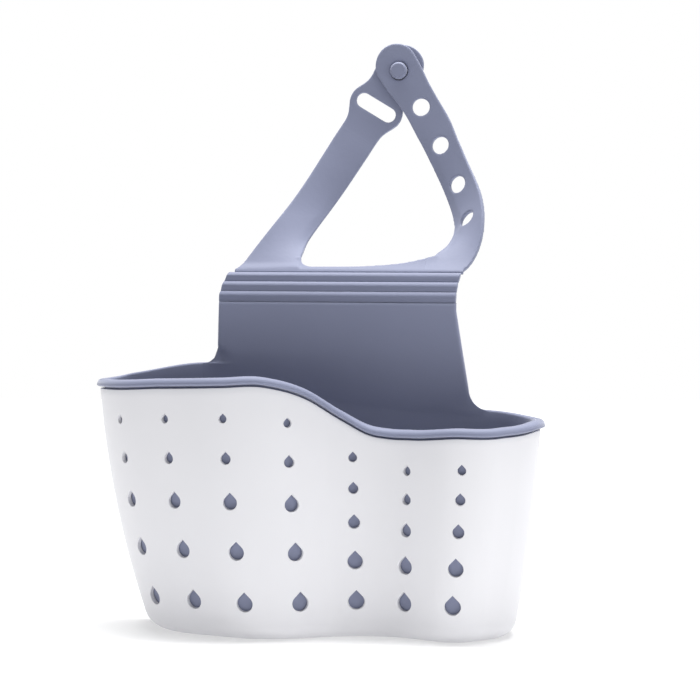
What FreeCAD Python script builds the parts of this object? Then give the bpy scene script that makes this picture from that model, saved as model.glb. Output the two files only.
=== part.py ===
"""Kitchen sink caddy: a stiff drain basket with a soft liner, whose back panel carries a buttoned strap loop.

Millimetres, +Z up, +X to the right of someone who faces the basket, +Y to the back. The origin is on the
underside of the basket, below the middle of the back panel.
"""
import FreeCAD
import Part
import math
import os

V = FreeCAD.Vector

# Basket plan at the rim, anticlockwise from above: corner x, corner y, corner radius
back_right_corner = (93.5, 31.5, 22.0)
back_left_corner = (-112.0, 31.5, 12.0)
front_left_corner = (-95.0, -21.0, 48.0)
left_lobe_corner = (-30.0, -43.8, 45.0)
valley_corner = (23.0, -14.5, 40.0)
right_lobe_corner = (70.0, -39.0, 22.0)
right_end_corner = (96.5, -10.0, 26.0)

# Basket walls: they draw in towards the floor, slowly at the rim and faster below
wall_curve_height = 110.0
wall_sections = 5
round_sections = 3
wall_trim = 12.0
taper = 0.18
taper_at_rim = 0.32
taper_centre = (24.0, 18.5)
shell_wall = 1.8
shell_floor = 2.0
base_round = 7.0

# Rim wave: x, height of the lip's top along the front wall, height along the back wall
rim_wave = (
    (-137.0, 109.3, 107.3),
    (-112.0, 110.0, 110.9),
    (-92.0, 110.4, 114.2),
    (-64.0, 112.55, 118.4),
    (-36.0, 113.1, 117.0),
    (-18.0, 112.4, 114.5),
    (-2.0, 107.4, 111.6),
    (12.0, 97.85, 107.8),
    (24.0, 91.0, 105.0),
    (32.0, 89.9, 103.4),
    (42.0, 90.4, 101.4),
    (60.0, 92.0, 98.1),
    (80.0, 91.3, 96.1),
    (90.0, 91.7, 95.0),
    (96.5, 93.6, 94.1),
    (121.0, 95.0, 93.0),
)
rim_front_y = -20.5
rim_margin = 25.0

# Soft liner
liner_wall = 1.6
liner_floor = 1.8
liner_clearance = 0.3
lip_height = 3.7
lip_overhang = 2.3
lip_seat_gap = 0.8
lip_chamfer = 1.0

# Teardrop holes: columns along the front wall, rows from the base up
drop_columns = (42.0, 68.5, 97.3, 125.2, 153.8, 178.7, 206.0)
drop_left_columns = 4
drop_rows = (0.0, 0.28, 0.55, 0.785, 1.0)
drop_left_widths = (7.0, 6.6, 6.1, 4.4, 3.4)
drop_right_widths = (6.9, 6.5, 5.0, 4.2, 3.6)
drop_slenderness = 1.22
drop_base_margin = 16.0
drop_rim_margin = 13.7
drop_depth = 7.0

# Drain holes through both floors
drain_diameter = 6.0
drain_pitch = 24.0
drain_count = 5
drain_row_y = 10.0

# Back panel and flex band: soft sheet, hinged at four grooves
sheet_thickness = 2.6
panel_left = -54.5
panel_waist_left = -54.1
panel_right = 61.0
panel_waist_right = 55.5
band_left = -48.3
band_right = 58.5
band_edge_bow = 1.2
panel_left_round = 7.0
panel_right_round = 10.0
panel_height = 27.6
rib_pitch = 4.7
rib_leans = (12.0, 20.0, 28.0)
rib_bulge = 0.35
knuckle_clearance = 0.2
seat_angle = 40.0

# Straps: soft ribbons from the band to flat round ends that overlap on the button
strap_width = 19.0
strap_thickness = 2.2
strap_gap = 0.35
strap_root_lean = 30.0
strap_root_inset = 0.5
strap_root_gap = 0.4
left_root_width = 31.0
loop_back = 68.5
left_strap_angle = 57.8
left_flat = 35.7
left_end_past_button = 4.1
left_end_radius = 10.4
right_strap_angle = 121.2
right_flat = 33.8
right_end_past_button = 2.7
right_end_radius = 10.0
end_shoulder = 1.7
end_taper_start = 2.5
end_blend = 20.0
button_x = 23.0
button_height = 110.4

# Yoke: sheet between the strap roots, one with the left strap, under the loop's hollowed lower edge
yoke_right = 40.4
yoke_rise = 2.5
yoke_end_rise = 7.3
yoke_flat_end = 4.0
loop_left = -17.7
loop_corner_round = 6.2
gusset_lap = 1.5

# Web: corner sheet that carries the yoke's upper edge on to the right strap
web_reach = 4.7
web_rise = 9.3
web_lean = 3.0

# Strap bends between root and flat end: share of the way, sideways and backward bow as shares of the way's
# length, turn, width
left_bends = ((0.20, -0.0230, 0.0105, 5.0, 20.5), (0.47, -0.0226, 0.0713, -12.0, 18.0),
              (0.75, -0.0100, 0.0480, -6.0, 19.0))
right_bends = ((0.19, 0.1152, 0.0353, 26.0, 18.0), (0.37, 0.1558, 0.0759, 28.0, 18.5),
               (0.62, 0.1165, 0.0851, 20.0, 19.0), (0.90, 0.0340, 0.0262, 8.0, 19.0))

# Strap cut-outs
slot_length = 21.0
slot_width = 7.0
slot_below_button = 19.5
boss_half_width = 14.6
boss_half_length = 10.0
boss_round = 9.0
boss_blend = 12.0
button_hole = 8.2
button_hole_pitch = 20.2

# Button stud
stud_neck = 6.4
stud_head = 8.8
stud_head_thickness = 2.6
stud_head_chamfer = 0.9
stud_gap = 0.3

# Sizes that follow from those above
plan = (back_right_corner, back_left_corner, front_left_corner, left_lobe_corner,
        valley_corner, right_lobe_corner, right_end_corner)
span = 2 * (back_right_corner[0] - back_left_corner[0])
rim_top = max(max(front, back) for x, front, back in rim_wave)
wall_top = rim_top + wall_trim
groove_height = rim_top + panel_height
floor_stack = shell_floor + liner_clearance + liner_floor
panel_y = back_left_corner[1] - shell_wall - liner_clearance - sheet_thickness / 2
knuckle = sheet_thickness / 2
seat_radius = knuckle + knuckle_clearance
land_drop = seat_radius * math.cos(math.radians(seat_angle))
land_inner = seat_radius * math.sin(math.radians(seat_angle))
strap_cut = 4 * strap_thickness
button = V(button_x, loop_back, groove_height + button_height)
left_root = (band_left + strap_root_gap, band_left + strap_root_gap + left_root_width)
right_root = (yoke_right + strap_root_gap, band_right - strap_root_gap)


def rounded_loop(corners, inset=0.0):
    """Corner arcs (start, middle, end) of an anticlockwise rounded polygon, moved inwards by inset."""
    arcs = []
    count = len(corners)
    for i in range(count):
        here = V(corners[i][0], corners[i][1], 0)
        radius = corners[i][2]
        if radius == 0:
            arcs.append((here, here, here))
            continue
        before = V(corners[i - 1][0], corners[i - 1][1], 0)
        after = V(corners[(i + 1) % count][0], corners[(i + 1) % count][1], 0)
        d_in = (here - before).normalize()
        d_out = (after - here).normalize()
        turn = math.atan2(d_in.x * d_out.y - d_in.y * d_out.x, d_in.dot(d_out))
        side = math.copysign(1.0, turn)
        reach = radius * math.tan(abs(turn) / 2)
        normal_in = V(-d_in.y, d_in.x, 0)
        normal_out = V(-d_out.y, d_out.x, 0)
        start = here - d_in * reach
        end = here + d_out * reach
        centre = start + normal_in * (radius * side)
        to_corner = (here - centre).normalize()
        middle = centre + to_corner * (radius - side * inset)
        arcs.append((start + normal_in * inset, middle, end + normal_out * inset))
    return arcs


def loop_wire(arcs, place):
    """Closed wire through corner arcs and the straight runs between them; place maps a plan point into space."""
    edges = []
    count = len(arcs)
    for i in range(count):
        start, middle, end = arcs[i]
        if start != end:
            edges.append(Part.Arc(place(start), place(middle), place(end)).toShape())
        following = arcs[(i + 1) % count][0]
        if (following - end).Length > 1e-6:
            edges.append(Part.makeLine(place(end), place(following)))
    return Part.Wire(edges)


def wall_scale(z):
    """Size of the wall outline at height z, as a share of its size at the rim."""
    t = (wall_curve_height - z) / wall_curve_height
    return 1.0 - taper * (taper_at_rim * t + (1.0 - taper_at_rim) * t * t)


def plan_section(z, inset):
    """Wall outline at height z, moved inwards from the basket's outer face by inset."""
    s = wall_scale(z)
    cx, cy = taper_centre
    scaled = [(cx + s * (x - cx), cy + s * (y - cy), s * r) for x, y, r in plan]
    return loop_wire(rounded_loop(scaled, inset), lambda p: V(p.x, p.y, z))


def bowl(inset, bottom, corner_round):
    """Solid filling the basket inside the given inset, from a floor at bottom to above the rim."""
    sections = []
    for i in range(round_sections if corner_round > 0 else 0):
        angle = math.radians(90.0 * i / round_sections)
        lift = corner_round * (1 - math.cos(angle))
        sections.append(plan_section(bottom + lift, inset + corner_round * (1 - math.sin(angle))))
    wall_foot = bottom + corner_round
    rise = (wall_top - wall_foot) / wall_sections
    for i in range(wall_sections + 1):
        sections.append(plan_section(wall_foot + rise * i, inset))
    return Part.makeLoft(sections, True, True)


def rim_point(x, front, back, y):
    """Point of the rim surface at x and y, from its heights at the front wall and the back wall."""
    back_y = back_left_corner[1]
    return V(x, y, front + (back - front) * (y - rim_front_y) / (back_y - rim_front_y))


def below_rim(drop):
    """Everything under the wavy rim, lowered by drop."""
    edges = []
    for y in (left_lobe_corner[1] - rim_margin, back_left_corner[1] + rim_margin):
        curve = Part.BSplineCurve()
        curve.interpolate([rim_point(x, front, back, y) for x, front, back in rim_wave])
        edges.append(curve.toShape())
    surface = Part.makeRuledSurface(edges[0], edges[1])
    surface.translate(V(0, 0, -drop))
    return surface.extrude(V(0, 0, -2 * wall_top))


def rim_height(x, y):
    """Height of the lip's top at a plan point."""
    line = Part.makeLine(V(x, y, 0), V(x, y, 2 * wall_top))
    return line.common(below_rim(0)).BoundBox.ZMax


def front_path():
    """The wall's rim outline along the front, from the back left corner to the right end."""
    edges = plan_section(wall_curve_height, 0.0).Edges
    return edges[3:13]


def point_on(edges, length):
    """Point and direction at a length along a chain of edges."""
    for edge in edges:
        if length <= edge.Length:
            at = edge.getParameterByLength(length)
            return edge.valueAt(at), edge.tangentAt(at)
        length -= edge.Length
    return edges[-1].valueAt(edges[-1].LastParameter), edges[-1].tangentAt(edges[-1].LastParameter)


def teardrop(centre, across, outward, width):
    """Prism with a teardrop section, point up, through the wall at centre."""
    up = V(0, 0, 1)
    radius = width / 2
    rise = drop_slenderness * width - radius
    lean = math.acos(radius / rise)
    foot = centre + outward * drop_depth
    apex = foot + up * rise
    right = foot + across * (radius * math.sin(lean)) + up * (radius * math.cos(lean))
    left = foot - across * (radius * math.sin(lean)) + up * (radius * math.cos(lean))
    edges = [
        Part.makeLine(apex, right),
        Part.Arc(right, foot - up * radius, left).toShape(),
        Part.makeLine(left, apex),
    ]
    return Part.Face(Part.Wire(edges)).extrude(outward * (-2 * drop_depth))


def drop_holes():
    """Teardrop prisms in columns that follow the wall's taper, from the base margin to the rim margin."""
    holes = []
    path = front_path()
    cx, cy = taper_centre
    for column, length in enumerate(drop_columns):
        at, along = point_on(path, length)
        outward = V(along.y, -along.x, 0).normalize()
        across = V(along.x, along.y, 0).normalize()
        top = rim_height(at.x, at.y) - lip_height - drop_rim_margin
        widths = drop_left_widths if column < drop_left_columns else drop_right_widths
        for share, width in zip(drop_rows, widths):
            z = drop_base_margin + share * (top - drop_base_margin)
            s = wall_scale(z)
            centre = V(cx + s * (at.x - cx), cy + s * (at.y - cy), z)
            holes.append(teardrop(centre, across, outward, width))
    return Part.makeCompound(holes)


def drain_holes():
    """Upright drain bores through the floors."""
    bores = []
    start = -drain_pitch * (drain_count - 1) / 2
    for i in range(drain_count):
        place = V(start + drain_pitch * i, drain_row_y, -floor_stack)
        bores.append(Part.makeCylinder(drain_diameter / 2, 3 * floor_stack, place))
    return Part.makeCompound(bores)


def outer_basket():
    """Stiff shell: tapered walls with the wavy rim cut, drop holes in the front, drain holes in the floor."""
    inner = bowl(shell_wall, shell_floor, base_round - shell_wall)
    shell = bowl(0.0, 0.0, base_round).cut(inner)
    shell = shell.common(below_rim(lip_height + lip_seat_gap))
    return shell.cut(drop_holes()).cut(drain_holes())


def face_looking(shape, up):
    """The largest face whose middle looks up (or down)."""
    best = None
    for face in shape.Faces:
        u0, u1, v0, v1 = face.ParameterRange
        normal = face.normalAt((u0 + u1) / 2, (v0 + v1) / 2)
        if normal.z * up > 0.8 and (best is None or face.Area > best.Area):
            best = face
    return best


def groove_points():
    """Hinge lines of the flex band, from the panel's top edge to the strap roots."""
    points = [V(0, panel_y, groove_height)]
    for lean in rib_leans:
        step = V(0, math.sin(math.radians(lean)), math.cos(math.radians(lean)))
        points.append(points[-1] + step * rib_pitch)
    return points


def sheet_silhouette():
    """Front outline of the panel and band, as a prism along Y."""
    top = groove_points()[-1].z + 2 * knuckle
    left_x = panel_left - panel_left_round
    right_x = panel_right + panel_right_round
    left_foot = V(left_x, 0, rim_height(left_x, panel_y))
    right_foot = V(right_x, 0, rim_height(right_x, panel_y))
    low = right_foot.z - 2 * lip_height
    half_turn = math.sqrt(0.5)
    left_mid = left_foot + V(half_turn, 0, 1 - half_turn) * panel_left_round
    right_mid = right_foot + V(-half_turn, 0, 1 - half_turn) * panel_right_round
    left_edge = left_foot + V(1, 0, 1) * panel_left_round
    right_edge = right_foot + V(-1, 0, 1) * panel_right_round
    left_knee = V(panel_waist_left, 0, groove_height)
    right_knee = V(panel_waist_right, 0, groove_height - rib_pitch)
    left_top = V(band_left, 0, top)
    right_top = V(band_right, 0, top)
    left_bow = (left_top + left_knee) * 0.5 - V(band_edge_bow, 0, 0)
    right_bow = (right_top + right_knee) * 0.5 - V(band_edge_bow, 0, 0)
    edges = [
        Part.makeLine(left_knee, left_edge),
        Part.Arc(left_edge, left_mid, left_foot).toShape(),
        Part.makeLine(left_foot, V(left_foot.x, 0, low)),
        Part.makeLine(V(left_foot.x, 0, low), V(right_foot.x, 0, low)),
        Part.makeLine(V(right_foot.x, 0, low), right_foot),
        Part.Arc(right_foot, right_mid, right_edge).toShape(),
        Part.makeLine(right_edge, right_knee),
        Part.Arc(right_knee, right_bow, right_top).toShape(),
        Part.makeLine(right_top, left_top),
        Part.Arc(left_top, left_bow, left_knee).toShape(),
    ]
    outline = Part.Face(Part.Wire(edges))
    outline.translate(V(0, -span / 2, 0))
    return outline.extrude(V(0, span, 0))


def soft_liner():
    """Tub, lip over the basket's rim, and back panel up to the first groove."""
    outer_inset = shell_wall + liner_clearance
    tub_bottom = shell_floor + liner_clearance
    tub = bowl(outer_inset, tub_bottom, base_round - outer_inset).common(below_rim(lip_height / 2))
    lip_foot = min(min(front, back) for x, front, back in rim_wave) - 2 * lip_height
    lip = Part.makeLoft([plan_section(z, -lip_overhang) for z in (lip_foot, wall_top)], True, True)
    lip = lip.common(below_rim(0)).cut(below_rim(lip_height))
    lip = lip.makeChamfer(lip_chamfer, face_looking(lip, 1).Edges)
    lip = lip.makeChamfer(lip_chamfer / 2, face_looking(lip, -1).Edges)
    inset = outer_inset + liner_wall
    inner = bowl(inset, tub_bottom + liner_floor, base_round - inset)
    panel = Part.makeBox(span, sheet_thickness, groove_height - land_drop,
                         V(-span / 2, panel_y - sheet_thickness / 2, 0))
    panel = panel.common(sheet_silhouette()).cut(below_rim(lip_height / 2))
    seat = Part.makeCylinder(seat_radius, span, groove_points()[0] - V(span / 2, 0, 0), V(1, 0, 0))
    body = tub.fuse(lip).cut(inner)
    return body.fuse(panel.cut(seat)).cut(drain_holes()).removeSplitter()


def rib_bar(low, high):
    """Rib between two hinge lines: round knuckle below, seat for the next knuckle above, bulged faces."""
    up = (high - low).normalize()
    back = V(0, up.z, -up.y)
    pitch = (high - low).Length

    def at(along, across):
        return low + up * along + back * across

    land = pitch - land_drop
    edges = [
        Part.Arc(at(0, -knuckle), at(-knuckle, 0), at(0, knuckle)).toShape(),
        Part.Arc(at(0, knuckle), at(land / 2, knuckle + rib_bulge), at(land, knuckle)).toShape(),
        Part.makeLine(at(land, knuckle), at(land, land_inner)),
        Part.Arc(at(land, land_inner), at(pitch - seat_radius, 0), at(land, -land_inner)).toShape(),
        Part.makeLine(at(land, -land_inner), at(land, -knuckle)),
        Part.Arc(at(land, -knuckle), at(land / 2, -knuckle - rib_bulge), at(0, -knuckle)).toShape(),
    ]
    section = Part.Face(Part.Wire(edges))
    section.translate(V(-span / 2, 0, 0))
    return section.extrude(V(span, 0, 0)).common(sheet_silhouette())


def root_sheet(edges, lean):
    """Sheet as thick as a strap: its outline is drawn upright from the last hinge line, then leant back."""
    sheet = Part.Face(Part.Wire(edges)).extrude(V(0, strap_thickness, 0))
    sheet.translate(V(0, -strap_thickness / 2, 0))
    sheet.rotate(V(0, 0, 0), V(1, 0, 0), -lean)
    sheet.translate(groove_points()[-1])
    return sheet


def yoke():
    """Sheet from the middle of the left strap's root to the seam beside the right strap."""
    middle = (left_root[0] + left_root[1]) / 2
    corner = loop_corner_round
    swing = corner * math.sqrt(0.5)
    corner_foot = V(loop_left + corner, 0, yoke_rise)
    corner_mid = corner_foot + V(-swing, 0, corner - swing)
    corner_top = corner_foot + V(-corner, 0, corner)
    flat_end = V(yoke_flat_end, 0, yoke_rise)
    end_top = V(yoke_right, 0, yoke_end_rise)
    half_way = V((yoke_flat_end + yoke_right) / 2, 0, yoke_rise + (yoke_end_rise - yoke_rise) / 4)
    gusset_end = corner_top - V(gusset_lap, 0, 0)
    edges = [
        Part.makeLine(V(middle, 0, 0), V(yoke_right, 0, 0)),
        Part.makeLine(V(yoke_right, 0, 0), end_top),
        Part.Arc(end_top, half_way, flat_end).toShape(),
        Part.makeLine(flat_end, corner_foot),
        Part.Arc(corner_foot, corner_mid, corner_top).toShape(),
        Part.makeLine(corner_top, gusset_end),
        Part.makeLine(gusset_end, V(middle, 0, 0)),
    ]
    return root_sheet(edges, strap_root_lean).fuse(root_pin(left_root[0], yoke_right))


def web():
    """Corner sheet between the seam and the right strap's inner edge."""
    near = right_root[0]
    far = near + web_reach
    corners = [V(near, 0, 0), V(far, 0, 0), V(far, 0, web_rise), V(near, 0, yoke_end_rise)]
    return root_sheet(Part.makePolygon(corners + corners[:1]).Edges, strap_root_lean + web_lean)


def strap_section(centre, along, turn, width):
    """Rectangle across a strap, and the direction through it; turn swings its right edge forwards."""
    front = V(0, -1, 0)
    level = along.cross(front).normalize()
    facing = level.cross(along).normalize()
    angle = math.radians(turn)
    across = level * math.cos(angle) + facing * math.sin(angle)
    through = across.cross(along).normalize()
    side = across * (width / 2)
    face = through * (strap_thickness / 2)
    corners = [centre + side - face, centre + side + face, centre - side + face, centre - side - face]
    return Part.makePolygon(corners + corners[:1]), through


def root_pin(left, right):
    """Round lower edge of a strap root, along the last hinge line."""
    hinge = groove_points()[-1]
    return Part.makeCylinder(knuckle, right - left, V(left, hinge.y, hinge.z), V(1, 0, 0))


def strap_ribbon(left, right, start, along, bends):
    """Smooth strap from its root on the last hinge line to the start of its flat end.

    Returns the solid, and a list of centre and facing direction at each bend.
    """
    hinge = groove_points()[-1]
    root = V((left + right) / 2, hinge.y, hinge.z)
    lean = math.radians(strap_root_lean)
    way = start - root
    centres = [root]
    for share, sideways, backwards, turn, width in bends:
        centres.append(root + way * share + V(sideways, backwards, 0) * way.Length)
    centres.append(start)
    root_width = right - left - 2 * strap_root_inset
    wires = [strap_section(root, V(0, math.sin(lean), math.cos(lean)), 0, root_width)[0]]
    facings = []
    for i, (share, sideways, backwards, turn, width) in enumerate(bends):
        heading = (centres[i + 2] - centres[i]).normalize()
        wire, through = strap_section(centres[i + 1], heading, turn, width)
        wires.append(wire)
        facings.append((centres[i + 1], through))
    wires.append(strap_section(start, along, 0, strap_width)[0])
    return Part.makeLoft(wires, True, False), facings


def end_plate(start, along, corners):
    """Flat strap end in an upright plane; corners are lengths along the strap, half widths and radii."""
    across = V(along.z, 0, -along.x)
    both_sides = [(x, -y, r) for x, y, r in corners] + [(x, y, r) for x, y, r in reversed(corners)]
    wire = loop_wire(rounded_loop(both_sides), lambda p: start + along * p.x - across * p.y)
    plate = Part.Face(wire).extrude(V(0, strap_thickness, 0))
    plate.translate(V(0, -strap_thickness / 2, 0))
    return plate


def direction(angle):
    """Unit vector in the upright plane across the caddy, at an angle from +X."""
    return V(math.cos(math.radians(angle)), 0, math.sin(math.radians(angle)))


def left_strap():
    """Strap that carries the button: yoke at its root, widened round its cross slot, with a round end."""
    along = direction(left_strap_angle)
    start = button - along * left_flat
    half = strap_width / 2
    boss = left_flat - slot_below_button
    tip = left_flat + left_end_past_button + left_end_radius
    corners = [(0, half, 0), (boss - boss_half_length, half, boss_blend), (boss, boss_half_width, boss_round),
               (boss + boss_half_length, half, boss_blend),
               (tip - end_shoulder * left_end_radius, left_end_radius, end_blend),
               (tip, left_end_radius, left_end_radius)]
    ribbon, facings = strap_ribbon(left_root[0], left_root[1], start, along, left_bends)
    reach = (slot_length - slot_width) / 2
    depth = V(0, strap_cut, 0)
    slot = Part.makeBox(2 * reach, strap_cut, slot_width, V(-reach, -strap_cut / 2, -slot_width / 2))
    for x in (-reach, reach):
        slot = slot.fuse(Part.makeCylinder(slot_width / 2, strap_cut, V(x, -strap_cut / 2, 0), depth))
    slot.rotate(V(0, 0, 0), V(0, 1, 0), 90 - left_strap_angle)
    slot.translate(start + along * boss)
    return ribbon.fuse(yoke()).fuse(end_plate(start, along, corners)).cut(slot)


def right_strap():
    """Strap with the row of button holes; its round end lies in front and sits on the button."""
    along = direction(right_strap_angle)
    eye = button - V(0, strap_thickness + strap_gap, 0)
    start = eye - along * right_flat
    half = strap_width / 2
    tip = right_flat + right_end_past_button + right_end_radius
    corners = [(0, half, 0), (tip - end_taper_start * right_end_radius, half, end_blend),
               (tip - end_shoulder * right_end_radius, right_end_radius, end_blend),
               (tip, right_end_radius, right_end_radius)]
    ribbon, facings = strap_ribbon(right_root[0], right_root[1], start, along, right_bends)
    root = web().fuse(root_pin(right_root[0], right_root[1]))
    strap = ribbon.fuse(root).fuse(end_plate(start, along, corners))
    eyes = [(eye, V(0, 1, 0)), (eye - along * button_hole_pitch, V(0, 1, 0))] + facings[1:]
    for centre, through in eyes:
        bore = Part.makeCylinder(button_hole / 2, strap_cut, centre - through * (strap_cut / 2), through)
        strap = strap.cut(bore)
    return strap


def button_stud():
    """Mushroom button on the left strap's end: neck through the eye, head in front of it."""
    foot = button.y - strap_thickness / 2
    head_back = foot - strap_gap - strap_thickness - stud_gap
    neck = Part.makeCylinder(stud_neck / 2, foot - head_back, V(button.x, foot, button.z), V(0, -1, 0))
    head = Part.makeCylinder(stud_head / 2, stud_head_thickness, V(button.x, head_back, button.z), V(0, -1, 0))
    front = [e for e in head.Edges if e.BoundBox.YMax < head_back - stud_head_thickness + 1e-3]
    return neck.fuse(head.makeChamfer(stud_head_chamfer, front))


grooves = groove_points()
pieces = {
    "outer_basket": outer_basket(),
    "soft_liner": soft_liner(),
    "flex_rib_lower": rib_bar(grooves[0], grooves[1]),
    "flex_rib_middle": rib_bar(grooves[1], grooves[2]),
    "flex_rib_upper": rib_bar(grooves[2], grooves[3]),
    "left_strap": left_strap(),
    "right_strap": right_strap(),
    "button_stud": button_stud(),
}
os.makedirs("parts", exist_ok=True)
for name, shape in pieces.items():
    state = "valid" if shape.isValid() else "invalid"
    print(name, state, len(shape.Solids), round(shape.Volume, 1), len(shape.Faces))
    shape.exportStep(os.path.join("parts", name + ".step"))
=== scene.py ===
"""Kitchen sink caddy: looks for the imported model, in metres, in the model's own frame."""
import math

import bpy
from mathutils import Matrix, Vector


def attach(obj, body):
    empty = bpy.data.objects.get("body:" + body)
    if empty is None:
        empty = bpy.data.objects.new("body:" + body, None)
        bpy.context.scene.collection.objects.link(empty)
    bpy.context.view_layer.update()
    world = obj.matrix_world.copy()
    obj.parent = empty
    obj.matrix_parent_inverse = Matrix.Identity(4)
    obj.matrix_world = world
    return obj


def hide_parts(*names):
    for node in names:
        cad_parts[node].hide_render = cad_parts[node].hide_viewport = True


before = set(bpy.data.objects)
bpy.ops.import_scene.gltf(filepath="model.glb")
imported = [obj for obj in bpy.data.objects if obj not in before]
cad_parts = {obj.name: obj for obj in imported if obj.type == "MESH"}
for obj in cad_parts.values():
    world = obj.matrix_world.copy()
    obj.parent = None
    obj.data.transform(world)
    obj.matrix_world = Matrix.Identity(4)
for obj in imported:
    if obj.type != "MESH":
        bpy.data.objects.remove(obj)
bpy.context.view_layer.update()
scene = bpy.context.scene

# Basket: the stiff outer shell that the caddy stands on, moulded in white polypropylene in one shot.
# One waved outline runs from floor to rim and draws in downwards. Rows of teardrop holes are cored
# through the front wall, and a row of drain holes through the floor. Sizes are in millimetres.
mm = 0.001
basket_corners = ((-95.0, -21.0, 48.0), (-30.0, -43.8, 45.0), (23.0, -14.5, 40.0), (70.0, -39.0, 22.0),
                  (96.5, -10.0, 26.0), (93.5, 31.5, 22.0), (-112.0, 31.5, 12.0))
outline_runs = []
for here, (corner_x, corner_y, corner_radius) in enumerate(basket_corners):
    corner = Vector((corner_x, corner_y))
    before = Vector(basket_corners[here - 1][:2])
    after = Vector(basket_corners[(here + 1) % len(basket_corners)][:2])
    heading = (corner - before).normalized()
    leaving = (after - corner).normalized()
    turn = math.atan2(heading.x * leaving.y - heading.y * leaving.x, heading.dot(leaving))
    reach = corner_radius * math.tan(abs(turn) / 2)
    angle = math.atan2(heading.y, heading.x)
    outline_runs.append((corner - heading * reach, corner + leaving * reach, angle, turn, corner_radius))


def outline_spot(length):
    """Plan point and outward direction at a length round the rim, from the back left by way of the front."""
    while True:
        for run, (arc_start, _, angle, turn, radius) in enumerate(outline_runs):
            line_start = outline_runs[run - 1][1]
            straight = (arc_start - line_start).length
            start_out = Vector((math.sin(angle), -math.cos(angle)))
            if length <= straight:
                return line_start + (arc_start - line_start) * (length / straight), start_out
            length -= straight
            arc = radius * abs(turn)
            if length <= arc:
                side = math.copysign(1.0, turn)
                now = angle + turn * length / arc
                out = Vector((math.sin(now), -math.cos(now)))
                return arc_start + (out - start_out) * (radius * side), out
            length -= arc


outline_length = sum((run[0] - outline_runs[i - 1][1]).length + run[4] * abs(run[3])
                     for i, run in enumerate(outline_runs))
outline_count = 480
outline_spots = [outline_spot(outline_length * i / outline_count) for i in range(outline_count)]

# The walls draw in downwards to an upright line, partly in step with the depth and partly with its square
taper_x, taper_y = 24.0, 18.5
taper_top = 110.0
taper_whole = 0.18
taper_even, taper_squared = 0.32, 0.68


def sized_point(spot, size, inset, z):
    """Point at height z over a spot of the outline, drawn in to a size and then moved in by inset."""
    at, out = spot
    x = taper_x + size * (at.x - taper_x) - inset * out.x
    y = taper_y + size * (at.y - taper_y) - inset * out.y
    return Vector((x, y, z))


def wall_point(spot, z, inset):
    """Point of the tapering wall at height z, moved in from the basket's outer face by inset."""
    down = (taper_top - z) / taper_top
    size = 1.0 - taper_whole * (taper_even * down + taper_squared * down * down)
    return sized_point(spot, size, inset, z)


# Places along the rim, each with the lip's height over the front wall and over the back wall
rim_wave = ((-137.0, 109.3, 107.3), (-112.0, 110.0, 110.9), (-92.0, 110.4, 114.2), (-64.0, 112.55, 118.4),
            (-36.0, 113.1, 117.0), (-18.0, 112.4, 114.5), (-2.0, 107.4, 111.6), (12.0, 97.85, 107.8),
            (24.0, 91.0, 105.0), (32.0, 89.9, 103.4), (42.0, 90.4, 101.4), (60.0, 92.0, 98.1),
            (80.0, 91.3, 96.1), (90.0, 91.7, 95.0), (96.5, 93.6, 94.1), (121.0, 95.0, 93.0))
front_wall, back_wall = 1, 2
wave_front, wave_depth = -20.5, 52.0


def wave_slope(i, wall):
    """Slope of the rim wave at one of its points."""
    last = len(rim_wave) - 1
    if i in (0, last):
        low, high = (0, 1) if i == 0 else (last - 1, last)
        return (rim_wave[high][wall] - rim_wave[low][wall]) / (rim_wave[high][0] - rim_wave[low][0])
    left = rim_wave[i][0] - rim_wave[i - 1][0]
    right = rim_wave[i + 1][0] - rim_wave[i][0]
    rise_left = (rim_wave[i][wall] - rim_wave[i - 1][wall]) / left
    rise_right = (rim_wave[i + 1][wall] - rim_wave[i][wall]) / right
    return (rise_left * right + rise_right * left) / (left + right)


def wave_height(x, wall):
    """Height of the rim wave at x, along the front wall or the back wall."""
    i = 0
    while i < len(rim_wave) - 2 and x > rim_wave[i + 1][0]:
        i += 1
    x0, x1 = rim_wave[i][0], rim_wave[i + 1][0]
    z0, z1 = rim_wave[i][wall], rim_wave[i + 1][wall]
    span = x1 - x0
    t = (x - x0) / span
    rise = wave_slope(i, wall) * span
    fall = wave_slope(i + 1, wall) * span
    return ((2 * t ** 3 - 3 * t ** 2 + 1) * z0 + (t ** 3 - 2 * t ** 2 + t) * rise
            + (3 * t ** 2 - 2 * t ** 3) * z1 + (t ** 3 - t ** 2) * fall)


def rim_height(x, y):
    """Height of the lip's top over a plan point."""
    front = wave_height(x, front_wall)
    return front + (wave_height(x, back_wall) - front) * (y - wave_front) / wave_depth


def lip_top(spot):
    """Height of the lip's top over a spot of the outline, found in three rounds because the wall leans."""
    z = taper_top
    for again in range(3):
        at = wall_point(spot, z, 0.0)
        z = rim_height(at.x, at.y)
    return z


def choose(piece):
    """Leaves only this piece selected, and active."""
    bpy.ops.object.select_all(action="DESELECT")
    piece.select_set(True)
    bpy.context.view_layer.objects.active = piece


def grid_skin(name, strips, gap):
    """Closed skin over strips of points: a grid laid on them, merged where it meets, and capped."""
    rows = len(strips[0])
    bpy.ops.object.select_all(action="DESELECT")
    bpy.ops.mesh.primitive_grid_add(x_subdivisions=len(strips) - 1, y_subdivisions=rows - 1, size=1.0)
    piece = bpy.context.object
    piece.name = name
    piece.data.name = name
    for row in range(rows):
        for column, strip in enumerate(strips):
            piece.data.vertices[row * len(strips) + column].co = strip[row] * mm
    bpy.ops.object.mode_set(mode="EDIT")
    bpy.ops.mesh.select_all(action="SELECT")
    bpy.ops.mesh.remove_doubles(threshold=gap)
    bpy.ops.mesh.fill_holes(sides=0)
    bpy.ops.mesh.select_all(action="SELECT")
    bpy.ops.mesh.normals_make_consistent(inside=False)
    bpy.ops.object.mode_set(mode="OBJECT")
    return piece


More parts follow.
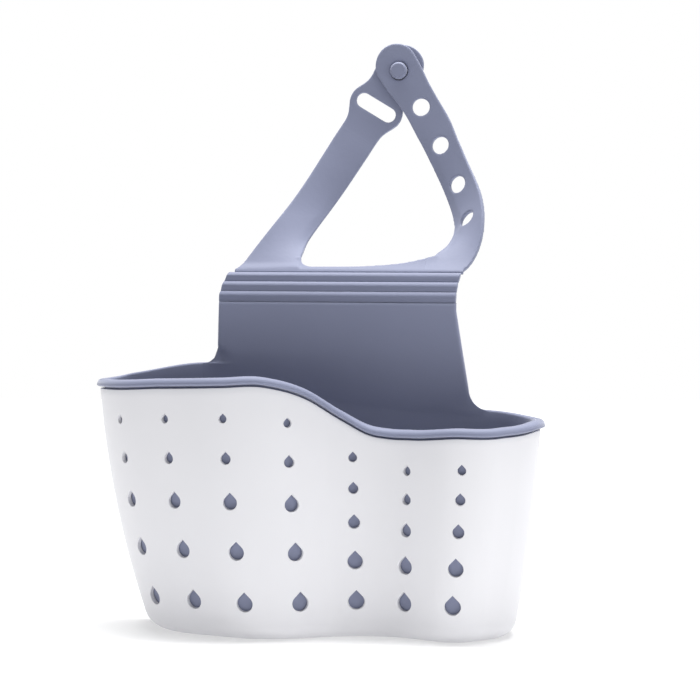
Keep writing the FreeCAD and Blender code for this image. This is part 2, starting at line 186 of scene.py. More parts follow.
def swept_shell(name, section):
    """Shell round the outline: section(spot, top) lists its points from the underside to the inside floor."""
    rings = [section(spot, lip_top(spot)) for spot in outline_spots]
    return grid_skin(name, rings + rings[:1], 1e-6)


def quarter_turn(steps):
    """Angles from 0 to 90 degrees in equal steps."""
    return [math.radians(90.0 * step / steps) for step in range(steps + 1)]


def heights(start, end, steps):
    """Heights in equal steps from the start, which is left out, to the end."""
    return [start + (end - start) * step / steps for step in range(1, steps + 1)]


foot_round = 7.0
basket_wall = 1.8
edge_below_lip = 4.35
edge_round, edge_bevel = 0.4, 0.12
floor_turn, floor_round = 7.2, 5.2


def basket_section(spot, top):
    """Basket wall, outside up and inside down, with round feet."""
    points = []
    for angle in quarter_turn(6):
        z = foot_round - foot_round * math.cos(angle)
        points.append(wall_point(spot, z, foot_round - foot_round * math.sin(angle)))
    edge = top - edge_below_lip
    shoulder = edge - edge_round
    for z in heights(foot_round, shoulder, 36):
        points.append(wall_point(spot, z, 0.0))
    for below, inset in ((edge_bevel, edge_bevel), (0.0, edge_round), (0.0, basket_wall - edge_round),
                         (edge_bevel, basket_wall - edge_bevel)):
        points.append(wall_point(spot, edge - below, inset))
    for z in [shoulder] + heights(shoulder, floor_turn, 12):
        points.append(wall_point(spot, z, basket_wall))
    for angle in quarter_turn(5)[1:]:
        z = floor_turn - floor_round * math.sin(angle)
        points.append(wall_point(spot, z, foot_round - floor_round * math.cos(angle)))
    return points


basket_shell = swept_shell("basket_shell", basket_section)


def combine(piece, other, operation):
    """Cuts another shape out of a piece (DIFFERENCE) or welds it on (UNION), and removes that shape."""
    choose(piece)
    change = piece.modifiers.new("combine", "BOOLEAN")
    change.operation = operation
    change.solver = "EXACT"
    change.object = other
    bpy.ops.object.modifier_apply(modifier=change.name)
    bpy.data.objects.remove(other, do_unlink=True)


def joined(pieces):
    """Joins a list of shapes into its first one."""
    choose(pieces[0])
    for piece in pieces:
        piece.select_set(True)
    bpy.ops.object.join()
    return bpy.context.object


# One teardrop core, 1 mm wide and lying on its back: a round pulled to a point, with a flared mouth
drop_radius, drop_length = 0.5, 1.22
drop_rise = drop_length - drop_radius
core_foot, mouth_foot = -0.6, -0.035
mouth_height, mouth_flare, mouth_middle = 0.07, 1.13, 0.06
bpy.ops.object.select_all(action="DESELECT")
bpy.ops.mesh.primitive_cylinder_add(vertices=40, radius=drop_radius, depth=1.0, location=(0, 0, 0),
                                    end_fill_type="NGON")
drop_core = bpy.context.object
tangent_height = drop_radius ** 2 / drop_rise
tangent_reach = math.sqrt(drop_radius ** 2 - tangent_height ** 2)
for corner in drop_core.data.vertices:
    x, y, z = corner.co
    if y > tangent_height:
        share = min(abs(x) / tangent_reach, 1.0)
        y = drop_rise - (drop_rise - tangent_height) * share
    corner.co = (x, y, mouth_foot if z > 0 else core_foot)
bpy.ops.object.mode_set(mode="EDIT")
bpy.ops.mesh.select_all(action="DESELECT")
bpy.ops.object.mode_set(mode="OBJECT")
mouth = max(drop_core.data.polygons, key=lambda face: face.normal.z)
mouth.select = True
bpy.ops.object.mode_set(mode="EDIT")
bpy.ops.mesh.extrude_region_move(TRANSFORM_OT_translate={"value": (0, 0, mouth_height)})
bpy.ops.transform.resize(value=(mouth_flare, mouth_flare, 1.0), center_override=(0, mouth_middle, 0))
bpy.ops.mesh.extrude_region_move(TRANSFORM_OT_translate={"value": (0, 0, -core_foot)})
bpy.ops.object.mode_set(mode="OBJECT")

# Columns of teardrops by their length round the rim; in each, five sizes from the lowest to the top one
drop_columns = (42.0, 68.5, 97.3, 125.2, 153.8, 178.7, 206.0)
left_columns = 4
drop_widths_left = (7.0, 6.6, 6.1, 4.4, 3.4)
drop_widths_right = (6.9, 6.5, 5.0, 4.2, 3.6)
drop_rows = (0.0, 0.28, 0.55, 0.785, 1.0)
lowest_row, top_row_below_lip = 16.0, 17.4
core_length = 7.0
drop_cores = []
for column, length in enumerate(drop_columns):
    spot = outline_spot(length)
    top_row = rim_height(spot[0].x, spot[0].y) - top_row_below_lip
    for share, width in zip(drop_rows, drop_widths_left if column < left_columns else drop_widths_right):
        z = lowest_row + share * (top_row - lowest_row)
        middle = wall_point(spot, z, 0.0)
        up = (wall_point(spot, z + 1.0, 0.0) - wall_point(spot, z - 1.0, 0.0)).normalized()
        across = Vector((-spot[1].y, spot[1].x, 0.0))
        out = across.cross(up).normalized()
        up = out.cross(across)
        core = drop_core.copy()
        core.data = drop_core.data.copy()
        scene.collection.objects.link(core)
        core.matrix_world = (Matrix.Translation(middle * mm)
                             @ Matrix((across, up, out)).transposed().to_4x4()
                             @ Matrix.Diagonal((width * mm, width * mm, core_length * mm, 1.0)))
        drop_cores.append(core)
bpy.data.objects.remove(drop_core, do_unlink=True)
combine(basket_shell, joined(drop_cores), "DIFFERENCE")

drain_radius, drain_depth = 3.0, 20.0
drain_places = (-48.0, -24.0, 0.0, 24.0, 48.0)
drain_y = 10.0


def drain_cores():
    """The row of upright cores for the drain holes."""
    cores = []
    for x in drain_places:
        bpy.ops.mesh.primitive_cylinder_add(vertices=40, radius=drain_radius * mm, depth=drain_depth * mm,
                                            location=(x * mm, drain_y * mm, 0.0))
        cores.append(bpy.context.object)
    return joined(cores)


combine(basket_shell, drain_cores(), "DIFFERENCE")
basket_crease = 38
choose(basket_shell)
bpy.ops.object.transform_apply(location=True, rotation=True, scale=True)
bpy.ops.object.shade_smooth_by_angle(angle=math.radians(basket_crease))


def moulded_skin():
    """Node group for a moulded surface: slow mottle for colour, patchy gloss, and the mould's fine grain."""
    group = bpy.data.node_groups.new("moulded_skin", "ShaderNodeTree")
    sides = group.interface
    sides.new_socket("Place", in_out="INPUT", socket_type="NodeSocketVector")
    for name, start in (("Mottle Scale", 18.0), ("Grain Scale", 1800.0),
                        ("Gloss Low", 0.4), ("Gloss High", 0.5)):
        sides.new_socket(name, in_out="INPUT", socket_type="NodeSocketFloat").default_value = start
    sides.new_socket("Light Tone", in_out="INPUT", socket_type="NodeSocketColor")
    sides.new_socket("Dark Tone", in_out="INPUT", socket_type="NodeSocketColor")
    sides.new_socket("Tone", in_out="OUTPUT", socket_type="NodeSocketColor")
    sides.new_socket("Roughness", in_out="OUTPUT", socket_type="NodeSocketFloat")
    sides.new_socket("Height", in_out="OUTPUT", socket_type="NodeSocketFloat")
    nodes = group.nodes
    wire = group.links.new
    given = nodes.new("NodeGroupInput")
    result = nodes.new("NodeGroupOutput")
    mottle = nodes.new("ShaderNodeTexNoise")
    mottle.inputs["Detail"].default_value = 3.0
    mottle.inputs["Roughness"].default_value = 0.55
    grain = nodes.new("ShaderNodeTexNoise")
    grain.inputs["Detail"].default_value = 2.0
    for noise, scale in ((mottle, "Mottle Scale"), (grain, "Grain Scale")):
        wire(given.outputs["Place"], noise.inputs["Vector"])
        wire(given.outputs[scale], noise.inputs["Scale"])
    spread = nodes.new("ShaderNodeMapRange")
    gloss = nodes.new("ShaderNodeMapRange")
    for stretch in (spread, gloss):
        stretch.inputs["From Min"].default_value = 0.3
        stretch.inputs["From Max"].default_value = 0.7
    wire(mottle.outputs["Fac"], spread.inputs["Value"])
    tone = nodes.new("ShaderNodeMix")
    tone.data_type = "RGBA"
    wire(spread.outputs["Result"], tone.inputs["Factor"])
    wire(given.outputs["Dark Tone"], tone.inputs[6])
    wire(given.outputs["Light Tone"], tone.inputs[7])
    wire(tone.outputs[2], result.inputs["Tone"])
    softened = nodes.new("ShaderNodeMath")
    softened.operation = "MULTIPLY"
    softened.inputs[1].default_value = 0.45
    wire(mottle.outputs["Fac"], softened.inputs[0])
    patchy = nodes.new("ShaderNodeMath")
    patchy.operation = "MULTIPLY_ADD"
    patchy.inputs[1].default_value = 0.55
    wire(grain.outputs["Fac"], patchy.inputs[0])
    wire(softened.outputs[0], patchy.inputs[2])
    wire(patchy.outputs[0], gloss.inputs["Value"])
    wire(given.outputs["Gloss Low"], gloss.inputs["To Min"])
    wire(given.outputs["Gloss High"], gloss.inputs["To Max"])
    wire(gloss.outputs["Result"], result.inputs["Roughness"])
    wire(grain.outputs["Fac"], result.inputs["Height"])
    return group


skin = moulded_skin()


def moulded_material(name, light, dark, gloss, shine, mottle_scale, grain_scale, grain_depth):
    """Principled material whose colour, gloss and grain come from the moulded skin."""
    material = bpy.data.materials.new(name)
    material.use_nodes = True
    nodes = material.node_tree.nodes
    wire = material.node_tree.links.new
    surface = nodes["Principled BSDF"]
    surface.inputs["Specular IOR Level"].default_value = shine
    place = nodes.new("ShaderNodeTexCoord")
    made = nodes.new("ShaderNodeGroup")
    made.node_tree = skin
    made.inputs["Mottle Scale"].default_value = mottle_scale
    made.inputs["Grain Scale"].default_value = grain_scale
    made.inputs["Gloss Low"].default_value = gloss[0]
    made.inputs["Gloss High"].default_value = gloss[1]
    made.inputs["Light Tone"].default_value = (*light, 1.0)
    made.inputs["Dark Tone"].default_value = (*dark, 1.0)
    wire(place.outputs["Object"], made.inputs["Place"])
    wire(made.outputs["Tone"], surface.inputs["Base Color"])
    wire(made.outputs["Roughness"], surface.inputs["Roughness"])
    bump = nodes.new("ShaderNodeBump")
    bump.inputs["Strength"].default_value = 0.35
    bump.inputs["Distance"].default_value = grain_depth
    wire(made.outputs["Height"], bump.inputs["Height"])
    wire(bump.outputs["Normal"], surface.inputs["Normal"])
    return material


white_polypropylene = moulded_material("white_polypropylene", light=(0.80, 0.797, 0.825),
                                       dark=(0.775, 0.773, 0.803), gloss=(0.38, 0.5), shine=0.45,
                                       mottle_scale=14.0, grain_scale=2200.0, grain_depth=0.00006)
basket_shell.data.materials.clear()
basket_shell.data.materials.append(white_polypropylene)
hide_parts("outer_basket")
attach(basket_shell, "basket")

# Liner: the soft tub that drops into the basket, moulded in grey thermoplastic rubber with lip and panel.
# The rounded lip hooks over the basket's rim all the way round, and the back wall runs on upwards as the
# panel that carries the straps, with a hollow along its top edge for the first bead of the flex band.
lip_size, lip_spread = 0.9779, 0.0285
lip_low, lip_range = 82.5, 47.9


def lip_point(spot, z, inset):
    """Point of the lip at height z: the lip spreads evenly upwards over the wall's rim."""
    return sized_point(spot, lip_size + lip_spread * (z - lip_low) / lip_range, inset, z)


liner_outside, liner_inside = 2.1, 3.7
liner_round = 4.9
liner_turn, liner_inner_round = 7.4, 3.3
lip_depth = 3.4
lip_inside, lip_round = 2.6, 1.1
# Height over the lip's underside and inset from the basket's face, up the outside and over the top
lip_profile = ((0.0, -0.9), (0.05, -1.4), (0.2, -1.84), (0.46, -2.14), (0.74, -2.27), (0.9, -2.25),
               (1.0, -2.15), (1.1, -2.12), (1.22, -2.13), (1.45, -2.06), (1.85, -1.9), (2.25, -1.66),
               (2.6, -1.33), (2.9, -0.93), (3.13, -0.45), (3.28, 0.1), (3.37, 0.7), (3.4, 1.3))


def liner_section(spot, top):
    """Tub wall, outside up, round the lip and inside down."""
    points = []
    for angle in quarter_turn(5):
        z = floor_turn - liner_round * math.cos(angle)
        points.append(wall_point(spot, z, foot_round - liner_round * math.sin(angle)))
    under = top - lip_depth
    for z in heights(floor_turn, under, 14):
        points.append(wall_point(spot, z, liner_outside))
    for rise, inset in lip_profile:
        points.append(lip_point(spot, under + rise, inset))
    points.append(wall_point(spot, top, lip_inside))
    for angle in quarter_turn(4)[1:]:
        z = top - lip_round + lip_round * math.cos(angle)
        points.append(wall_point(spot, z, lip_inside + lip_round * math.sin(angle)))
    for z in heights(top - lip_round, liner_turn, 28):
        points.append(wall_point(spot, z, liner_inside))
    for angle in quarter_turn(5)[1:]:
        z = liner_turn - liner_inner_round * math.sin(angle)
        points.append(wall_point(spot, z, foot_round - liner_inner_round * math.cos(angle)))
    return points


liner_tub = swept_shell("liner_tub", liner_section)
combine(liner_tub, drain_cores(), "DIFFERENCE")

# The panel's outline: its sides sweep out into the lip at the foot, and lean in a little towards the top
panel_y = 28.1
panel_left, panel_right = -54.5, 61.0
left_sweep, right_sweep = 7.0, 10.0
left_lean, left_lean_top = 0.4, 146.0
right_lean, right_lean_top = 5.5, 141.3
panel_top = 144.85
foot_left = rim_height(panel_left - left_sweep, panel_y)
foot_right = rim_height(panel_right + right_sweep, panel_y)


def panel_edges(z):
    """Left and right edge of the panel at height z."""
    sweep_top = foot_left + left_sweep
    if z < sweep_top:
        dip = min(max(sweep_top - z, 0.0), left_sweep)
        left = panel_left - left_sweep + math.sqrt(left_sweep ** 2 - dip ** 2)
    else:
        left = panel_left + left_lean * (z - sweep_top) / (left_lean_top - sweep_top)
    sweep_top = foot_right + right_sweep
    if z < sweep_top:
        dip = min(max(sweep_top - z, 0.0), right_sweep)
        right = panel_right + right_sweep - math.sqrt(right_sweep ** 2 - dip ** 2)
    else:
        share = min((z - sweep_top) / (right_lean_top - sweep_top), 1.0)
        right = panel_right - right_lean * share
    return left, right


def step_up(z, low, high):
    """Smooth rise from 0 at the low height to 1 at the high one."""
    share = min(max((z - low) / (high - low), 0.0), 1.0)
    return share * share * (3.0 - 2.0 * share)


band_climb = 1.6
band_right, band_width = 57.0, 111.0
climb_foot = 122.0


def band_rise(x):
    """How far the panel's top edge and the flex band above it climb towards their left end."""
    return band_climb * min(max((band_right - x) / band_width, 0.0), 1.0)


# Columns of the panel as shares of its width, close together where the side edges are rolled over,
# and its rows as heights over the lip, with more rows from there to the top
panel_roll = (0.0, 0.0012, 0.0032, 0.0062, 0.0105)
panel_columns = (list(panel_roll) + [0.02 + 0.96 * i / 40 for i in range(41)]
                 + [1.0 - share for share in reversed(panel_roll)])
panel_lifts = (-22.0, -19.0, -16.0, -13.5, -11.0, -9.0, -7.5, -6.0, -4.5, -3.0, -1.5, 0.0,
               0.1, 0.3, 0.6, 1.0, 1.6, 2.4, 3.4, 4.6, 5.8, 7.0, 8.5, 10.0)
upper_rows = 20
panel_rows = len(panel_lifts) + upper_rows

# The panel's faces: the front is sunk at the foot, and leans back towards the crown and the shoulder
panel_front, panel_back = 25.8, 29.4
foot_sink, sink_top, sink_range_top = 2.5, 124.0, 144.0
crown_lean, crown_height = 0.85, 20.8
shoulder_lean, shoulder_low, shoulder_height = 0.5, 143.7, 1.1
back_draft, back_draft_depth = 0.15, 5.0
edge_roll, roll_growth, roll_depth = 1.2, 1.1, 9.0
blend_width, blend_below, blend_above, blend_y = 14.0, 2.0, 9.0, 27.72
crest_below_top = 0.1


def panel_place(column, row, face):
    """Point of the panel's front (-1) or back (1) face; the two roll together along the side edges."""
    share = panel_columns[column]
    rim = rim_height(panel_left + (panel_right - panel_left) * share, panel_y)
    if row < len(panel_lifts):
        z = rim + panel_lifts[row]
    else:
        step = (row - len(panel_lifts) + 1) / upper_rows
        lift = panel_lifts[-1]
        z = rim + lift + (panel_top - crest_below_top - rim - lift) * (1.0 - (1.0 - step) ** 2)
    left, right = panel_edges(z)
    x = left + (right - left) * share
    below = max(rim - z, 0.0)
    sunk = step_up(sink_top - z, 0.0, sink_range_top - rim)
    crown = max((z - sink_top) / crown_height, 0.0)
    shoulder = max((z - shoulder_low) / shoulder_height, 0.0)
    front = panel_front + foot_sink * sunk + crown_lean * crown * crown + shoulder_lean * shoulder * shoulder
    back = panel_back - back_draft * min(below, back_draft_depth)
    edge = min(x - left, right - x)
    roll = edge_roll + roll_growth * min(below, roll_depth)
    thin = 1.0
    if edge < roll:
        thin = math.sqrt(max(1.0 - ((roll - edge) / roll) ** 2, 0.0))
    y = (front + back) / 2 + face * (back - front) / 2 * thin
    if face < 0:
        # The foot's outer corners run back smoothly into the lip
        wide = blend_width * (1.0 - step_up(z, rim - blend_below, rim + blend_above))
        if wide > 0.0 and edge < wide:
            y += max(blend_y - y, 0.0) * step_up(wide - edge, 0.0, wide)
    return Vector((x, y, z + band_rise(x) * step_up(z, climb_foot, panel_top)))


# The hollow along the panel's top edge: places across it, from front to back, and their heights
crest_hollow = ((-1.1, 144.66), (-1.0, 144.72), (-0.85, 144.65), (-0.45, 144.5), (0.0, 144.45),
                (0.45, 144.57), (0.85, 144.77), (1.0, 144.87), (1.1, 144.8))
crest_width = 2.2
panel_strips = []
for column in range(len(panel_columns)):
    strip = [panel_place(column, row, -1) for row in range(panel_rows)]
    brow = strip[-1]
    crest = panel_place(column, panel_rows - 1, 1)
    thick = (crest.y - brow.y) / crest_width
    for across, z in crest_hollow:
        strip.append(Vector((crest.x, (crest.y + brow.y) / 2 + across * thick, z + band_rise(crest.x))))
    strip += [panel_place(column, row, 1) for row in reversed(range(panel_rows))]
    panel_strips.append(strip)
combine(liner_tub, grid_skin("liner_panel", panel_strips, 2e-6), "UNION")
liner_crease = 42
choose(liner_tub)
bpy.ops.object.transform_apply(location=True, rotation=True, scale=True)
bpy.ops.object.shade_smooth_by_angle(angle=math.radians(liner_crease))

grey_rubber = moulded_material("grey_rubber", light=(0.222, 0.241, 0.345), dark=(0.208, 0.226, 0.325),
                               gloss=(0.52, 0.66), shine=0.3, mottle_scale=22.0, grain_scale=1500.0,
                               grain_depth=0.00008)
for sheen in ("Sheen Weight", "Sheen Roughness"):
    grey_rubber.node_tree.nodes["Principled BSDF"].inputs[sheen].default_value = 0.4
liner_tub.data.materials.clear()
liner_tub.data.materials.append(grey_rubber)
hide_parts("soft_liner")
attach(liner_tub, "liner")

# Flex band: three rounded beads of the same rubber, joined by thin grooves, that let the straps tilt back
# over the tap. Each is moulded with a round foot that rests in the hollow of the one below.


def soft_copy(node, name):
    """The node's own shape as one closed skin."""
    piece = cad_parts[node].copy()
    piece.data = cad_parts[node].data.copy()
    piece.name = name
    piece.data.name = name
    piece.parent = None
    scene.collection.objects.link(piece)
    choose(piece)
    bpy.ops.object.mode_set(mode="EDIT")
    bpy.ops.mesh.select_all(action="SELECT")
    bpy.ops.mesh.remove_doubles(threshold=1e-6)
    bpy.ops.object.mode_set(mode="OBJECT")
    return piece


def round_off(piece, voxel, passes):
    """Remeshes a closed piece finely and rounds every edge, as soft rubber leaves the mould."""
    choose(piece)
    fine = piece.modifiers.new("fine", "REMESH")
    fine.mode = "VOXEL"
    fine.voxel_size = voxel * mm
    fine.use_smooth_shade = True
    bpy.ops.object.modifier_apply(modifier=fine.name)
    ease = piece.modifiers.new("ease", "SMOOTH")
    ease.factor = 0.5
    ease.iterations = passes
    bpy.ops.object.modifier_apply(modifier=ease.name)
    bpy.ops.object.shade_smooth()
    piece.data.materials.clear()


least_slack, slack_per_rise = 0.1, 0.21
slack_low, slack_high = 0.2, 1.5


def foot_slack(x, rise, depth):
    """How far the front of a round foot is cut back, so that it stays clear as the band bends."""
    slack = least_slack + slack_per_rise * band_rise(x)
    return slack * (1.0 - step_up(rise, slack_low, slack_high)) * min(max(depth, 0.0), 1.0)


# A bead's half thickness as it is packed, and the fuller round that it is swelled to
packed_half, packed_hollow, packed_middle = 1.65, 0.35, 1.77
packed_foot_squared = 1.69
full_half, full_fall, full_middle, full_least = 1.76, 0.17, 1.6, 0.3


def shape_bead(piece, low, high):
    """Swells a bead to a fuller round, cuts its foot back a little, and lifts its left end."""
    up = (high - low).normalized()
    front = Vector((0.0, -up.z, up.y))
    for corner in piece.data.vertices:
        offset = corner.co / mm - low
        rise = offset.dot(up)
        depth = offset.dot(front)
        if rise > 0.0:
            packed = packed_half - packed_hollow * ((rise - packed_middle) / packed_middle) ** 2
        else:
            packed = math.sqrt(max(packed_foot_squared - rise * rise, 0.1))
        full = max(full_half - full_fall * (rise - full_middle) ** 2, full_least)
        corner.co += front * (depth * (full / max(packed, 0.5) - 1.0) * mm)
        corner.co -= front * (foot_slack(offset.x, rise, depth) * mm)
        corner.co.z += band_rise(offset.x) * mm


groove_lines = (Vector((0.0, 28.1, 146.0)), Vector((0.0, 29.077, 150.597)), Vector((0.0, 30.685, 155.014)),
                Vector((0.0, 32.891, 159.164)))
for place, (node, body) in enumerate((("flex_rib_lower", "lower_rib"), ("flex_rib_middle", "middle_rib"),
                                      ("flex_rib_upper", "upper_rib"))):
    bead = soft_copy(node, node.replace("flex_rib", "bead"))
    round_off(bead, voxel=0.3, passes=10)
    shape_bead(bead, groove_lines[place], groove_lines[place + 1])
    bead.data.materials.append(grey_rubber)
    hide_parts(node)
    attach(bead, body)

# Straps: two flat ribbons of the same rubber that close into the loop round the tap. The left one carries
# the yoke at its root, the cross slot and the button, and the right one a row of button holes.
seam_x, seam_top = 40.6, 166.0
seam_reach, seam_overlap, seam_gap = 0.21, 2.0, 0.02
seam_crease = 60
to_right, to_left = 1.0, -1.0


def widen_root(piece, side):
    """Moves a strap's edge at the seam past it to one side, so that rounding off leaves enough to trim."""
    for corner in piece.data.vertices:
        if side * (corner.co.x / mm - seam_x) > -seam_reach and corner.co.z < seam_top * mm:
            corner.co.x += side * seam_overlap * mm


def ease_bend(piece, place, along, slope, slope_across):
    """Rounds off the bend where a strap's curve runs into its flat end, over a reach to both sides."""
    reach = 15.0
    across = Vector((along.z, 0.0, -along.x))
    for corner in piece.data.vertices:
        offset = corner.co / mm - place
        past = abs(offset.dot(along))
        if past < reach:
            tilt = slope + slope_across * offset.dot(across)
            corner.co.y -= tilt * (reach - past) ** 2 / (4.0 * reach) * mm


def trim_seam(piece, side):
    """Cuts off what a strap's root has past the seam on one side, so that its edge there stays crisp."""
    choose(piece)
    for face in piece.data.polygons:
        face.select = face.center.z < seam_top * mm
    bpy.ops.object.mode_set(mode="EDIT")
    bpy.ops.mesh.bisect(plane_co=((seam_x - side * seam_gap) * mm, 0.0, 0.0), plane_no=(1.0, 0.0, 0.0),
                        use_fill=True, clear_inner=side == to_left, clear_outer=side == to_right)
    bpy.ops.object.mode_set(mode="OBJECT")
    bpy.ops.object.shade_smooth_by_angle(angle=math.radians(seam_crease))


root_up = Vector((0.0, 0.5, 0.866))
root_lean, root_lean_height = 1.6, 28.0
root_height, root_fade = 26.0, 16.0
step_fill, step_fill_low, step_fill_top = 0.2, 1.2, 6.0
climb_fade = 6.0
yoke_dip = 0.14
yoke_swells = ((0.5, 49.0, 3.5), (0.4, 28.0, 9.0))
root_slack, root_slack_lift = 0.4, 0.9


def yoke_share(x):
    """How much the yoke's upper edge is evened at x: narrowly at its right end, widely at its middle."""
    return sum(share * math.exp(-((x - middle) / width) ** 2) for share, middle, width in yoke_swells)


def ease_root(piece):
    """Leans a strap's root further back, fills the step above its foot, and evens the yoke's upper edge."""
    hinge = groove_lines[-1]
    front = Vector((0.0, -root_up.z, root_up.y))
    for corner in piece.data.vertices:
        offset = corner.co / mm - hinge
        rise = offset.dot(root_up)
        depth = offset.dot(front)
        if rise < root_height:
            if depth > 0.0 and 0.0 < rise < step_fill_top:
                filled = min(rise / step_fill_low, 1.0) * (1.0 - rise / step_fill_top) ** 2
                corner.co += front * (step_fill * filled * mm)
            dip = yoke_dip * yoke_share(offset.x) * max(rise, 0.0)
            corner.co -= root_up * (dip * step_up(root_height - rise, 0.0, root_fade) * mm)
        corner.co -= front * (root_slack * foot_slack(offset.x, rise + root_slack_lift, depth) * mm)
        corner.co.z += band_rise(offset.x) * (1.0 - step_up(rise, 0.0, climb_fade)) * mm
        share = min(max((corner.co.z / mm - hinge.z) / root_lean_height, 0.0), 1.0)
        # The lean is greatest a third of the way up; 6.75 makes it 1 there
        corner.co.y += root_lean * 6.75 * share * (1.0 - share) ** 2 * mm


def draw_in(piece, amount, low, low_end, high, high_end):
    """Moves a strap's left edge inwards (its right one, for a negative amount) between two heights."""
    edge_width = 6.5
    rows = {}
    for corner in piece.data.vertices:
        rows.setdefault(math.floor(corner.co.z / mm), []).append(corner.co.x / mm)
    edges = {row: min(places) if amount > 0 else max(places) for row, places in rows.items()}
    for corner in piece.data.vertices:
        z = corner.co.z / mm
        fade = step_up(z, low, low_end) * (1.0 - step_up(z, high, high_end))
        if fade > 0.0:
            row = math.floor(z - 0.5)
            edge = edges[row] + (edges[row + 1] - edges[row]) * (z - 0.5 - row)
            near = step_up(1.0 - abs(corner.co.x / mm - edge) / edge_width, 0.0, 1.0)
            corner.co.x += amount * near * fade * mm


left_ribbon = soft_copy("left_strap", "ribbon_left")
widen_root(left_ribbon, to_right)
round_off(left_ribbon, voxel=0.4, passes=6)
ease_bend(left_ribbon, place=Vector((3.98, 68.5, 226.19)), along=Vector((0.5329, 0.0, 0.8462)),
          slope=0.31, slope_across=0.002)
ease_root(left_ribbon)
draw_in(left_ribbon, -0.9, low=168.0, low_end=176.0, high=206.0, high_end=230.0)
left_end_drop = 0.9
for corner in left_ribbon.data.vertices:
    corner.co.z -= left_end_drop * step_up(corner.co.z / mm, 256.0, 268.0) * mm
trim_seam(left_ribbon, to_right)
left_ribbon.data.materials.append(grey_rubber)
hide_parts("left_strap")
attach(left_ribbon, "button_strap")

right_ribbon = soft_copy("right_strap", "ribbon_right")
widen_root(right_ribbon, to_left)
round_off(right_ribbon, voxel=0.4, passes=6)
ease_bend(right_ribbon, place=Vector((40.51, 65.95, 227.49)), along=Vector((-0.518, 0.0, 0.8554)),
          slope=0.18, slope_across=0.018)
ease_root(right_ribbon)
draw_in(right_ribbon, 1.7, low=166.5, low_end=172.0, high=230.0, high_end=258.0)
draw_in(right_ribbon, -0.9, low=192.0, low_end=214.0, high=240.0, high_end=262.0)
# The end disc lies a little further right and higher, and the lowest hole is narrowed along its slant
end_shift, right_end_lift = 1.1, 0.9
lowest_hole = Vector((57.9, 50.9, 184.0))
hole_narrowing, hole_reach, hole_fade_end = 0.28, 4.4, 9.0
slant = Vector((0.88, -0.47, 0.0)) - Vector((0.0, 0.576, 0.817))
slant.normalize()
for corner in right_ribbon.data.vertices:
    z = corner.co.z / mm
    corner.co.x += end_shift * step_up(z, 222.0, 238.0) * mm
    corner.co.z += right_end_lift * step_up(z, 254.0, 268.0) * mm
    offset = corner.co / mm - lowest_hole
    narrow = hole_narrowing * (1.0 - step_up(offset.length, hole_reach, hole_fade_end)) * offset.dot(slant)
    corner.co -= slant * (narrow * mm)
trim_seam(right_ribbon, to_left)
right_ribbon.data.materials.append(grey_rubber)
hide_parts("right_strap")
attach(right_ribbon, "hole_strap")

# Button: a mushroom stud of the same rubber, moulded on the left strap's end. Its flat head with a
# chamfered edge is what the holes of the right strap slip over.
button = soft_copy("button_stud", "button_head")
round_off(button, voxel=0.18, passes=3)
head_x, head_z = 23.0, 256.4
head_back = 64.8
head_size = 0.91
for corner in button.data.vertices:
    if corner.co.y < head_back * mm:
        corner.co.x = head_x * mm + (corner.co.x - head_x * mm) * head_size
        corner.co.z = head_z * mm + (corner.co.z - head_z * mm) * head_size
    corner.co.x += end_shift * mm
button.data.materials.append(grey_rubber)
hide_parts("button_stud")
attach(button, "button_strap")

# Stage: a plain white floor and background with soft light from all round, as on a light table. A wide
# soft lamp hangs overhead and a small one stands at the right, and the camera is where the photograph's was.


def direct_view(nodes, wire):
    """Socket that is 1 for what the camera sees straight, in a mirror or through glass, and 0 otherwise."""
    path = nodes.new("ShaderNodeLightPath")
    seen = path.outputs["Is Camera Ray"]
    for way in ("Is Glossy Ray", "Is Transmission Ray"):
        either = nodes.new("ShaderNodeMath")
        either.operation = "ADD"
        either.use_clamp = True
        wire(seen, either.inputs[0])
        wire(path.outputs[way], either.inputs[1])
        seen = either.outputs[0]
    return seen


bpy.ops.object.select_all(action="DESELECT")
bpy.ops.mesh.primitive_plane_add(size=12.0, location=(0.0, 0.0, 0.0))
floor = bpy.context.object
floor.name = "floor"
white_floor = bpy.data.materials.new("white_floor")
white_floor.use_nodes = True
floor_nodes = white_floor.node_tree.nodes
floor_wire = white_floor.node_tree.links.new
floor_nodes.remove(floor_nodes["Principled BSDF"])
matt = floor_nodes.new("ShaderNodeBsdfDiffuse")
matt.inputs["Color"].default_value = (0.7, 0.7, 0.7, 1.0)

# The floor glows a little everywhere, and to the eye it brightens further out into the background
away = floor_nodes.new("ShaderNodeVectorMath")
away.operation = "LENGTH"
floor_wire(floor_nodes.new("ShaderNodeTexCoord").outputs["Object"], away.inputs[0])
far_glow = floor_nodes.new("ShaderNodeMapRange")
far_glow.interpolation_type = "SMOOTHSTEP"
for socket, value in (("From Min", 0.25), ("From Max", 0.9), ("To Min", 0.0), ("To Max", 0.7)):
    far_glow.inputs[socket].default_value = value
floor_wire(away.outputs["Value"], far_glow.inputs["Value"])
glow_level = floor_nodes.new("ShaderNodeMath")
glow_level.operation = "MULTIPLY_ADD"
glow_level.inputs[2].default_value = 0.35
floor_wire(direct_view(floor_nodes, floor_wire), glow_level.inputs[0])
floor_wire(far_glow.outputs["Result"], glow_level.inputs[1])
glow = floor_nodes.new("ShaderNodeEmission")
floor_wire(glow_level.outputs[0], glow.inputs["Strength"])
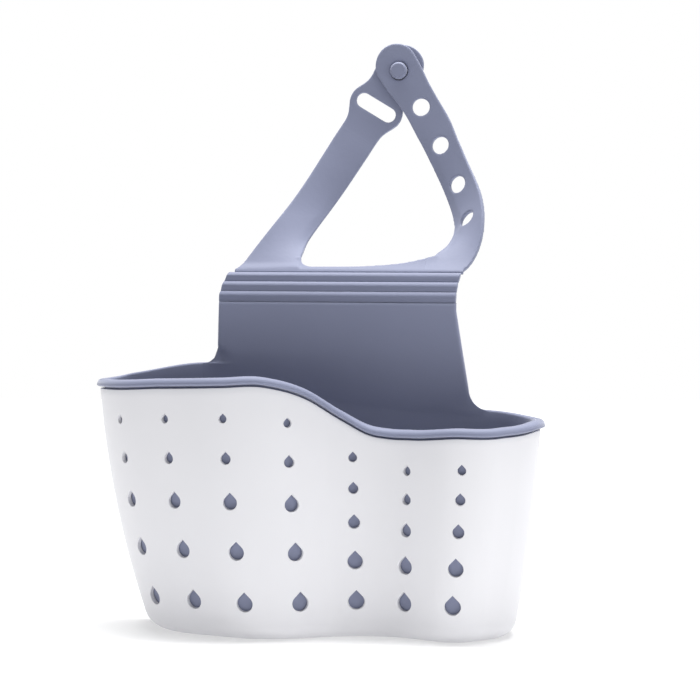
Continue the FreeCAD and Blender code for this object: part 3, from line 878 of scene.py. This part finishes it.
both = floor_nodes.new("ShaderNodeAddShader")
floor_wire(matt.outputs[0], both.inputs[0])
floor_wire(glow.outputs[0], both.inputs[1])
floor_wire(both.outputs[0], floor_nodes["Material Output"].inputs["Surface"])
floor.data.materials.append(white_floor)

world = bpy.data.worlds.new("studio")
scene.world = world
world.use_nodes = True
world_nodes = world.node_tree.nodes
world_wire = world.node_tree.links.new
room = world_nodes["Background"]
room.inputs["Color"].default_value = (0.97, 0.98, 1.0, 1.0)
room.inputs["Strength"].default_value = 0.32
backdrop = world_nodes.new("ShaderNodeBackground")
backdrop.inputs["Color"].default_value = (1.0, 1.0, 1.0, 1.0)
backdrop.inputs["Strength"].default_value = 1.0
choice = world_nodes.new("ShaderNodeMixShader")
world_wire(direct_view(world_nodes, world_wire), choice.inputs["Fac"])
world_wire(room.outputs[0], choice.inputs[1])
world_wire(backdrop.outputs[0], choice.inputs[2])
world_wire(choice.outputs[0], world_nodes["World Output"].inputs["Surface"])


def soft_lamp(name, place, aim, width, depth, power):
    """Flat studio lamp that looks at a point."""
    lamp = bpy.data.lights.new(name, "AREA")
    lamp.shape = "RECTANGLE"
    lamp.size = width
    lamp.size_y = depth
    lamp.energy = power
    stand = bpy.data.objects.new(name, lamp)
    stand.location = place
    stand.rotation_euler = (Vector(aim) - Vector(place)).to_track_quat("-Z", "Y").to_euler()
    scene.collection.objects.link(stand)


soft_lamp("top_lamp", place=(0.05, 0.08, 1.2), aim=(0.05, 0.08, 0.0), width=1.0, depth=0.4, power=23.5)
soft_lamp("right_lamp", place=(1.0, -0.55, 0.3), aim=(0.0, 0.0, 0.08), width=0.35, depth=0.35, power=1.9)

lens = bpy.data.cameras.new("photo_camera")
lens.lens = 86.14
lens.sensor_width = 36.0
lens.shift_y = 0.0314
camera = bpy.data.objects.new("photo_camera", lens)
camera.location = (0.1389, -0.7198, 0.114)
camera.rotation_euler = (math.radians(90.0), 0.0, math.radians(10.0))
scene.collection.objects.link(camera)
scene.camera = camera
scene.view_settings.view_transform = "Standard"
